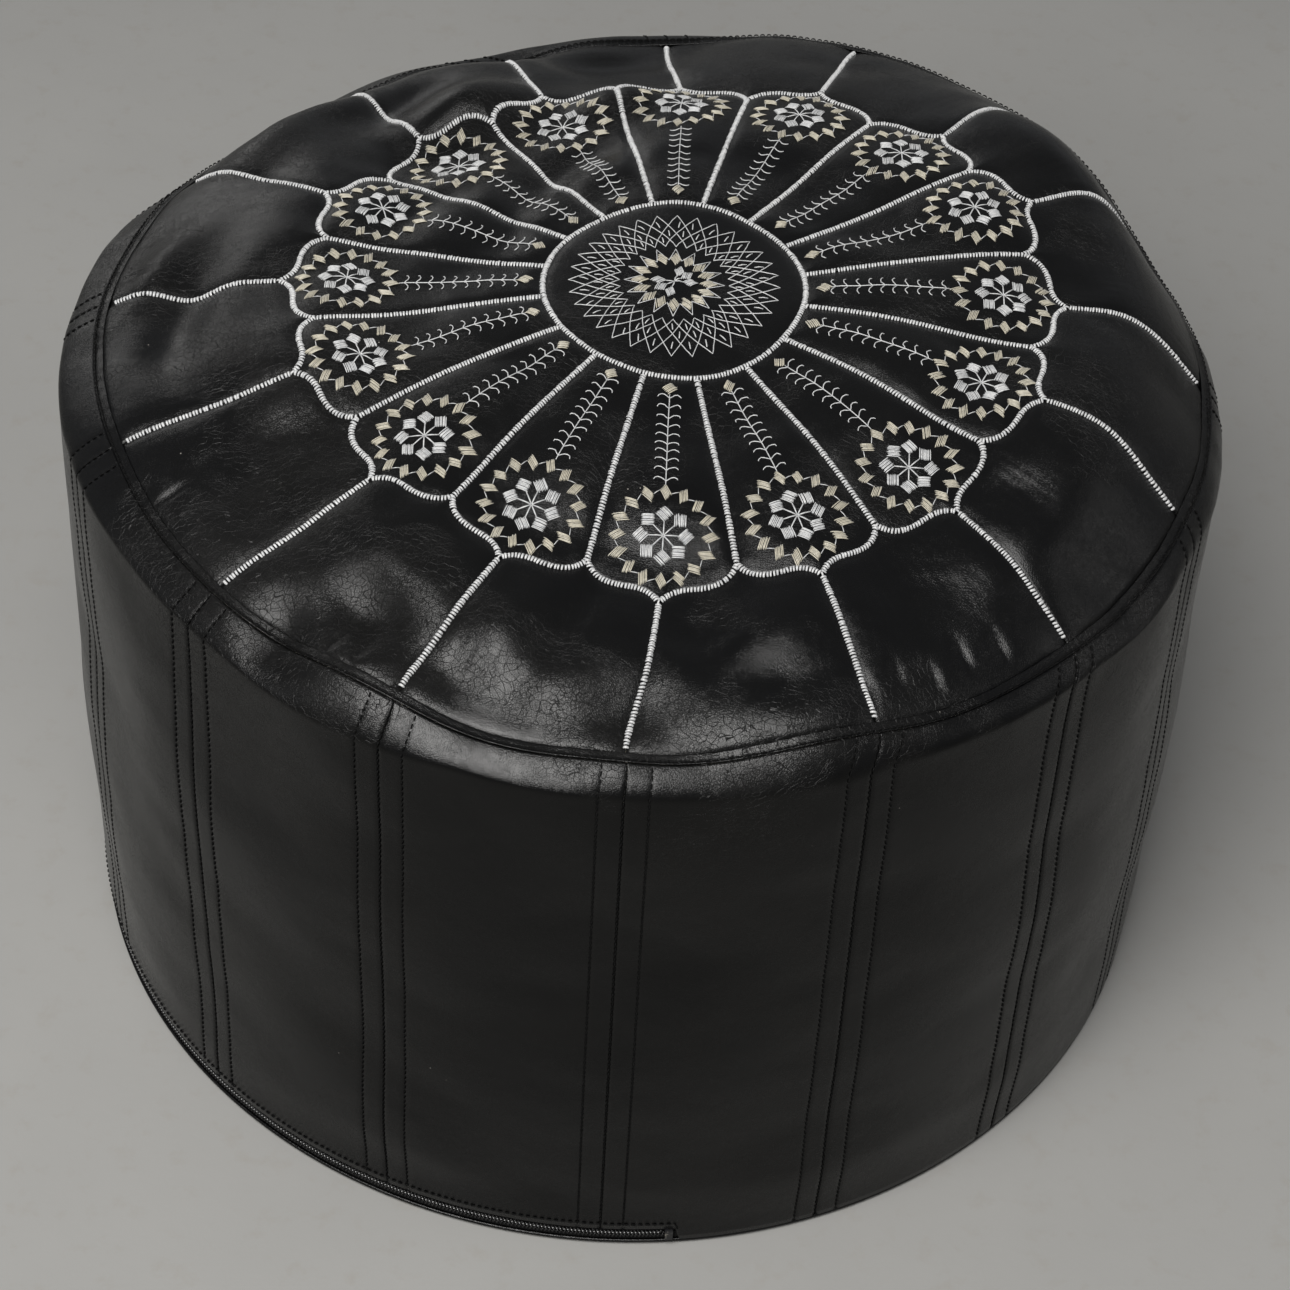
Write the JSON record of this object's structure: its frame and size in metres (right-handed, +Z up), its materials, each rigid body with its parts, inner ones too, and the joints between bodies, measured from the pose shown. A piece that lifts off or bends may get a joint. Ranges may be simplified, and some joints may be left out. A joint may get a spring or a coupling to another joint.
{
  "type": "leather pouf",
  "caption": "Round stuffed floor pouf of black leather panels with a crowned, whip-stitched and embroidered top and a coil zip around the foot.",
  "frame": {"origin": "on the floor, under the middle of the pouf", "axes": "+Z up along the drum's axis; the middle of petal_01 points along -Y"},
  "size_m": [0.532, 0.532, 0.361],
  "materials": {
    "leather": "semi-gloss",
    "zip_tape": "matte",
    "zip_coil": "gloss",
    "zip_metal": "satin",
    "bag_cloth": "matte",
    "filling": "matte"
  },
  "bodies": {
    "pouf": {"medallion": "leather", "petal_01": "leather", "petal_02": "leather", "petal_03": "leather", "petal_04": "leather", "petal_05": "leather", "petal_06": "leather", "petal_07": "leather", "petal_08": "leather", "petal_09": "leather", "petal_10": "leather", "petal_11": "leather", "petal_12": "leather", "petal_13": "leather", "petal_14": "leather", "petal_15": "leather", "petal_16": "leather", "top_panel_01": "leather", "top_panel_02": "leather", "top_panel_03": "leather", "top_panel_04": "leather", "top_panel_05": "leather", "top_panel_06": "leather", "top_panel_07": "leather", "top_panel_08": "leather", "top_panel_09": "leather", "top_panel_10": "leather", "top_panel_11": "leather", "top_panel_12": "leather", "top_panel_13": "leather", "top_panel_14": "leather", "top_panel_15": "leather", "top_panel_16": "leather", "side_panel_01": "leather", "side_panel_02": "leather", "side_panel_03": "leather", "side_panel_04": "leather", "side_panel_05": "leather", "side_panel_06": "leather", "side_panel_07": "leather", "side_panel_08": "leather", "side_panel_09": "leather", "side_panel_10": "leather", "side_panel_11": "leather", "side_panel_12": "leather", "side_panel_13": "leather", "side_panel_14": "leather", "side_panel_15": "leather", "side_panel_16": "leather", "rim_lip": "leather", "bottom_panel": "leather", "zip_tape_upper": "zip_tape", "zip_tape_lower": "zip_tape", "zip_coil_upper": "zip_coil", "zip_coil_lower": "zip_coil", "zip_stops": "zip_metal", "inner_bag": "bag_cloth", "filling": "filling"},
    "slider": {"zip_slider": "zip_metal"},
    "pull": {"zip_pull": "zip_metal"}
  },
  "joints": [
    {"name": "zip_travel", "type": "hinge", "parent": "pouf", "child": "slider", "pos_m": [0, 0, 0], "axis": [0, 0, 1], "range_deg": [0, 174.5]},
    {"name": "pull_swing", "type": "hinge", "parent": "slider", "child": "pull", "pos_m": [-0.04931, 0.262, 0.008], "axis": [0, 0, -1], "range_deg": [0, 170]}
  ]
}
